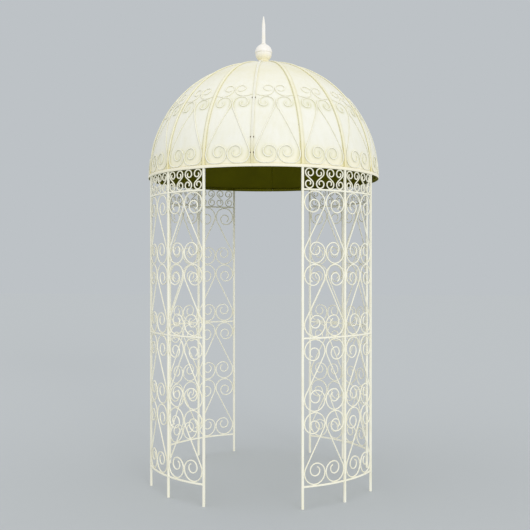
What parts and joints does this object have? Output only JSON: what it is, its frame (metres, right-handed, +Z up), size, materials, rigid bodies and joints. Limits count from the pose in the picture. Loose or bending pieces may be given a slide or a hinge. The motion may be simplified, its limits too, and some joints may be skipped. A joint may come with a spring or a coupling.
{
  "type": "garden bandstand",
  "caption": "Round open bandstand of cream painted wrought iron: curved scrollwork piers with doorways between them carry a ribbed sheet metal dome with a ball and spike finial.",
  "frame": {"origin": "On the ground at the middle of the round plan, level with the posts' feet", "axes": "+Z up along the middle axis; the front doorway faces -Y, and +X is to the right of someone looking in through it"},
  "size_m": [1.8, 1.8, 3.6283],
  "materials": {
    "pier_frame": "cream chalky paint on wrought iron, a little rust at the joints",
    "pier_scrollwork": "cream chalky paint on forged bars",
    "dome_sheet": "cream satin paint outside, dark olive undercoat inside",
    "dome_frame": "cream paint, yellowed in the corners",
    "dome_scrollwork": "cream paint, yellowed in the corners",
    "finial": "cream paint"
  },
  "bodies": {
    "root": {"front_right_posts": "pier_frame", "rear_right_posts": "pier_frame", "rear_left_posts": "pier_frame", "front_left_posts": "pier_frame", "front_right_rails": "pier_frame", "rear_right_rails": "pier_frame", "rear_left_rails": "pier_frame", "front_left_rails": "pier_frame", "front_right_bay_1": "pier_scrollwork", "front_right_bay_2": "pier_scrollwork", "rear_right_bay_1": "pier_scrollwork", "rear_right_bay_2": "pier_scrollwork", "rear_left_bay_1": "pier_scrollwork", "rear_left_bay_2": "pier_scrollwork", "front_left_bay_1": "pier_scrollwork", "front_left_bay_2": "pier_scrollwork", "front_right_frieze": "pier_scrollwork", "rear_right_frieze": "pier_scrollwork", "rear_left_frieze": "pier_scrollwork", "front_left_frieze": "pier_scrollwork", "front_right_rim": "dome_frame", "rear_right_rim": "dome_frame", "rear_left_rim": "dome_frame", "front_left_rim": "dome_frame", "front_right_sheet": "dome_sheet", "rear_right_sheet": "dome_sheet", "rear_left_sheet": "dome_sheet", "front_left_sheet": "dome_sheet", "front_right_ribs": "dome_frame", "rear_right_ribs": "dome_frame", "rear_left_ribs": "dome_frame", "front_left_ribs": "dome_frame", "front_right_dome_scrolls": "dome_scrollwork", "rear_right_dome_scrolls": "dome_scrollwork", "rear_left_dome_scrolls": "dome_scrollwork", "front_left_dome_scrolls": "dome_scrollwork", "crown_plate": "dome_frame", "finial_ball": "finial", "finial_spike": "finial"}
  },
  "joints": []
}
